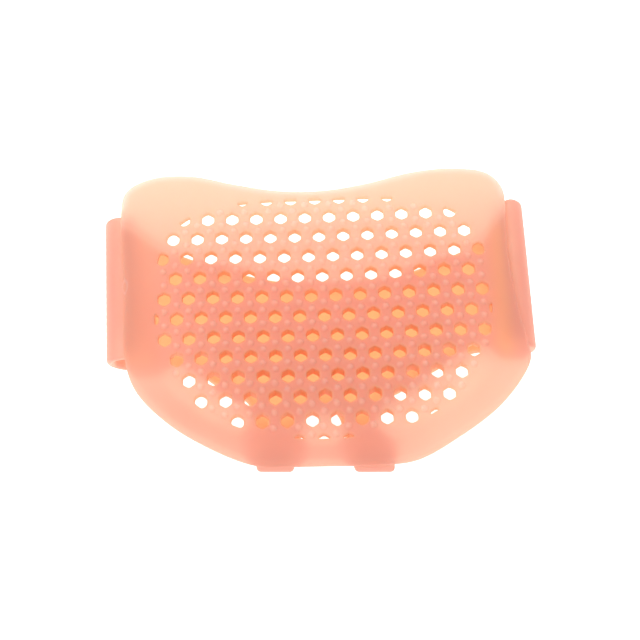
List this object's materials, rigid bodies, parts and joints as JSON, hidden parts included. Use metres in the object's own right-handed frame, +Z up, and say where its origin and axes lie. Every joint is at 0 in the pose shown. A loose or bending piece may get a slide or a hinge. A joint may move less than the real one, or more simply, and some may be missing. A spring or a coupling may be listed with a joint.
{
  "type": "metatarsal pad",
  "caption": "Perforated gel cushion for the ball of the foot, held on by an instep band with two toe straps and three toe openings.",
  "frame": {"origin": "on the floor under the middle of the part's box, which lies on its instep band with the sole up", "axes": "+X across the foot, +Y towards the heel, +Z up, out of the sole towards the ground that the wearer walks on"},
  "size_m": [0.0996, 0.0724, 0.0176],
  "materials": {
    "sole_pad": "translucent satin gel, peach",
    "instep_band": "translucent satin gel, peach"
  },
  "bodies": {
    "root": {"sole_pad": "sole_pad", "instep_band": "instep_band"}
  },
  "joints": []
}
